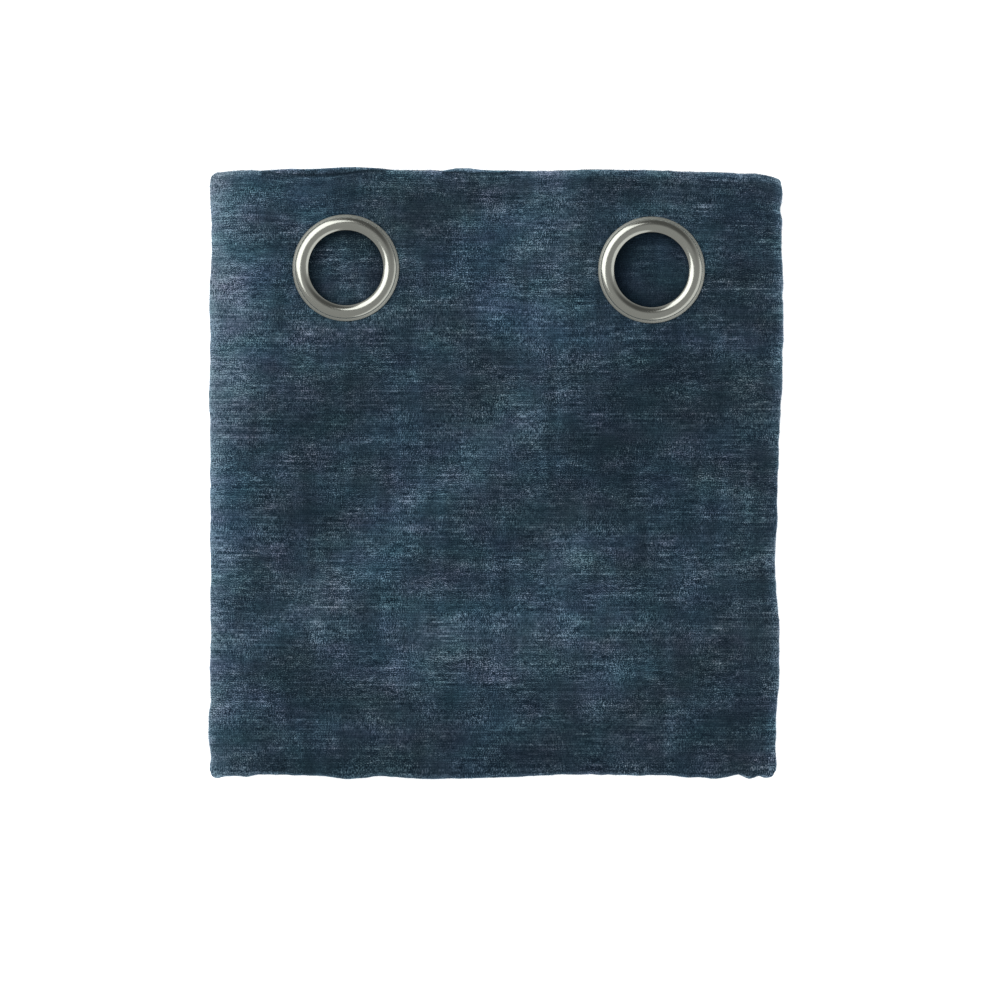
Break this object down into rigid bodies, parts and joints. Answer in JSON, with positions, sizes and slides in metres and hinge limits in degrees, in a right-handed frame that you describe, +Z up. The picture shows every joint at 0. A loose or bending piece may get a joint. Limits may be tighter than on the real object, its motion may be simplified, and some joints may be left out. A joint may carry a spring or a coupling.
{
  "type": "folded eyelet curtain",
  "caption": "Dark blue chenille eyelet curtain folded into a flat packet, with the heading and its round metal eyelets on top.",
  "frame": {"origin": "middle of the packet's outline, on the surface that it lies on", "axes": "+Z up from the surface through the folded layers, +Y towards the heading, +X to the right as the eyelets face up"},
  "size_m": [0.3408, 0.363, 0.0349],
  "materials": {
    "chenille": "soft mottled chenille, weft slubs",
    "nickel": "polished nickel plate"
  },
  "bodies": {
    "root": {"curtain_panel": "chenille", "heading_strip": "chenille", "eyelet_left": "nickel", "eyelet_right": "nickel"}
  },
  "joints": []
}
